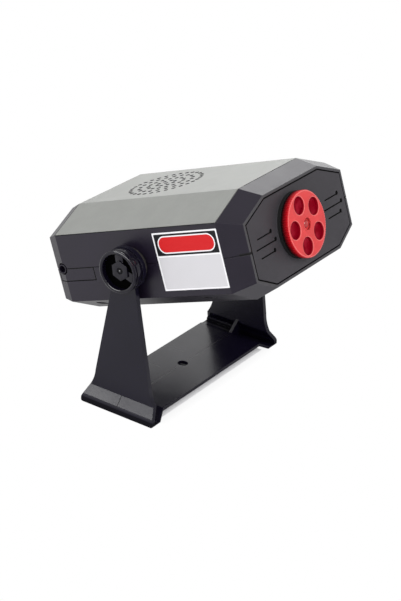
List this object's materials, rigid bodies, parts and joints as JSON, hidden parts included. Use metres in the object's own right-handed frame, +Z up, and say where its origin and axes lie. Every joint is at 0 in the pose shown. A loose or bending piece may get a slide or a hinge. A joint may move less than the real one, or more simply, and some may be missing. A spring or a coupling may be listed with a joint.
{
  "type": "laser show projector",
  "caption": "Small table laser show projector: a faceted head with a turnable pattern wheel and a speaker grille tilts between clamp knobs on a U-shaped stand.",
  "frame": {"origin": "on the ground, at the middle of the bounding box", "axes": "+Z up along the base hole, -Y towards the front panel, X along the tilt pivot"},
  "size_m": [0.1246, 0.1294, 0.1242],
  "materials": {
    "shell_black": "fine moulded texture, satin",
    "cover_silver": "silver paint with a fine flake",
    "panel_black": "fine moulded texture",
    "stand_black": "satin moulded plastic",
    "knob_black": "semi-gloss moulded plastic",
    "wheel_red": "red moulded plastic",
    "clear_film": "clear plastic grating",
    "steel": "zinc plated",
    "brass": "turned brass",
    "fibre": "grey fibre washer",
    "board_green": "green solder mask",
    "part_black": "moulded component",
    "can_blue": "sleeved can",
    "paper_cone": "black pressed paper",
    "magnet_grey": "ferrite magnet",
    "cell_sleeve": "plain printed sleeve"
  },
  "bodies": {
    "stand": {"stand_base": "stand_black", "stand_arm_left": "stand_black", "stand_arm_right": "stand_black", "friction_washer_left": "fibre", "friction_washer_right": "fibre"},
    "head": {"upper_shell": "shell_black", "lower_shell": "shell_black", "top_cover": "cover_silver", "front_panel": "panel_black", "jack_plate": "shell_black", "input_jack": "part_black", "wheel_screw": "steel", "wheel_washer": "fibre", "laser_barrel": "brass", "laser_lens": "clear_film", "optics_bracket": "steel", "disc_motor": "steel", "speaker_frame": "steel", "speaker_cone": "paper_cone", "speaker_magnet": "magnet_grey", "main_board": "board_green", "board_chip": "part_black", "board_capacitors": "can_blue", "switch_body": "part_black", "battery_cells": "cell_sleeve", "battery_contacts": "steel", "case_screws": "steel", "pivot_bolt_left": "steel", "pivot_bolt_right": "steel"},
    "wheel": {"pattern_wheel": "wheel_red", "wheel_gratings": "clear_film"},
    "knob_left": {"clamp_knob_left": "knob_black", "knob_insert_left": "brass"},
    "knob_right": {"clamp_knob_right": "knob_black", "knob_insert_right": "brass"},
    "effect_disc": {"effect_disc": "clear_film", "disc_hub": "brass", "motor_shaft": "steel"},
    "switch": {"switch_slider": "part_black"},
    "door": {"battery_door": "shell_black"}
  },
  "joints": [
    {"name": "head_tilt", "type": "hinge", "parent": "stand", "child": "head", "pos_m": [0, 0.00927, 0.0801], "axis": [-1, 0, 0], "range_deg": [-80, 70]},
    {"name": "wheel_turn", "type": "hinge", "parent": "head", "child": "wheel", "pos_m": [-0.0033, -0.05732, 0.10545], "axis": [0, -0.9385, 0.3453], "continuous": true},
    {"name": "knob_left_turn", "type": "hinge", "parent": "head", "child": "knob_left", "pos_m": [-0.057, 0.00927, 0.0801], "axis": [-1, 0, 0], "range_deg": [0, 180]},
    {"name": "knob_right_turn", "type": "hinge", "parent": "head", "child": "knob_right", "pos_m": [0.057, 0.00927, 0.0801], "axis": [1, 0, 0], "range_deg": [0, 180]},
    {"name": "disc_spin", "type": "hinge", "parent": "head", "child": "effect_disc", "pos_m": [0.00005, -0.04442, 0.10071], "axis": [0, -0.9385, 0.3453], "continuous": true},
    {"name": "switch_slide", "type": "slide", "parent": "head", "child": "switch", "axis": [1, 0, 0], "range_m": [0, 0.003]},
    {"name": "door_lift", "type": "slide", "parent": "head", "child": "door", "axis": [0, -0.3453, -0.9385], "range_m": [0, 0.015]}
  ]
}
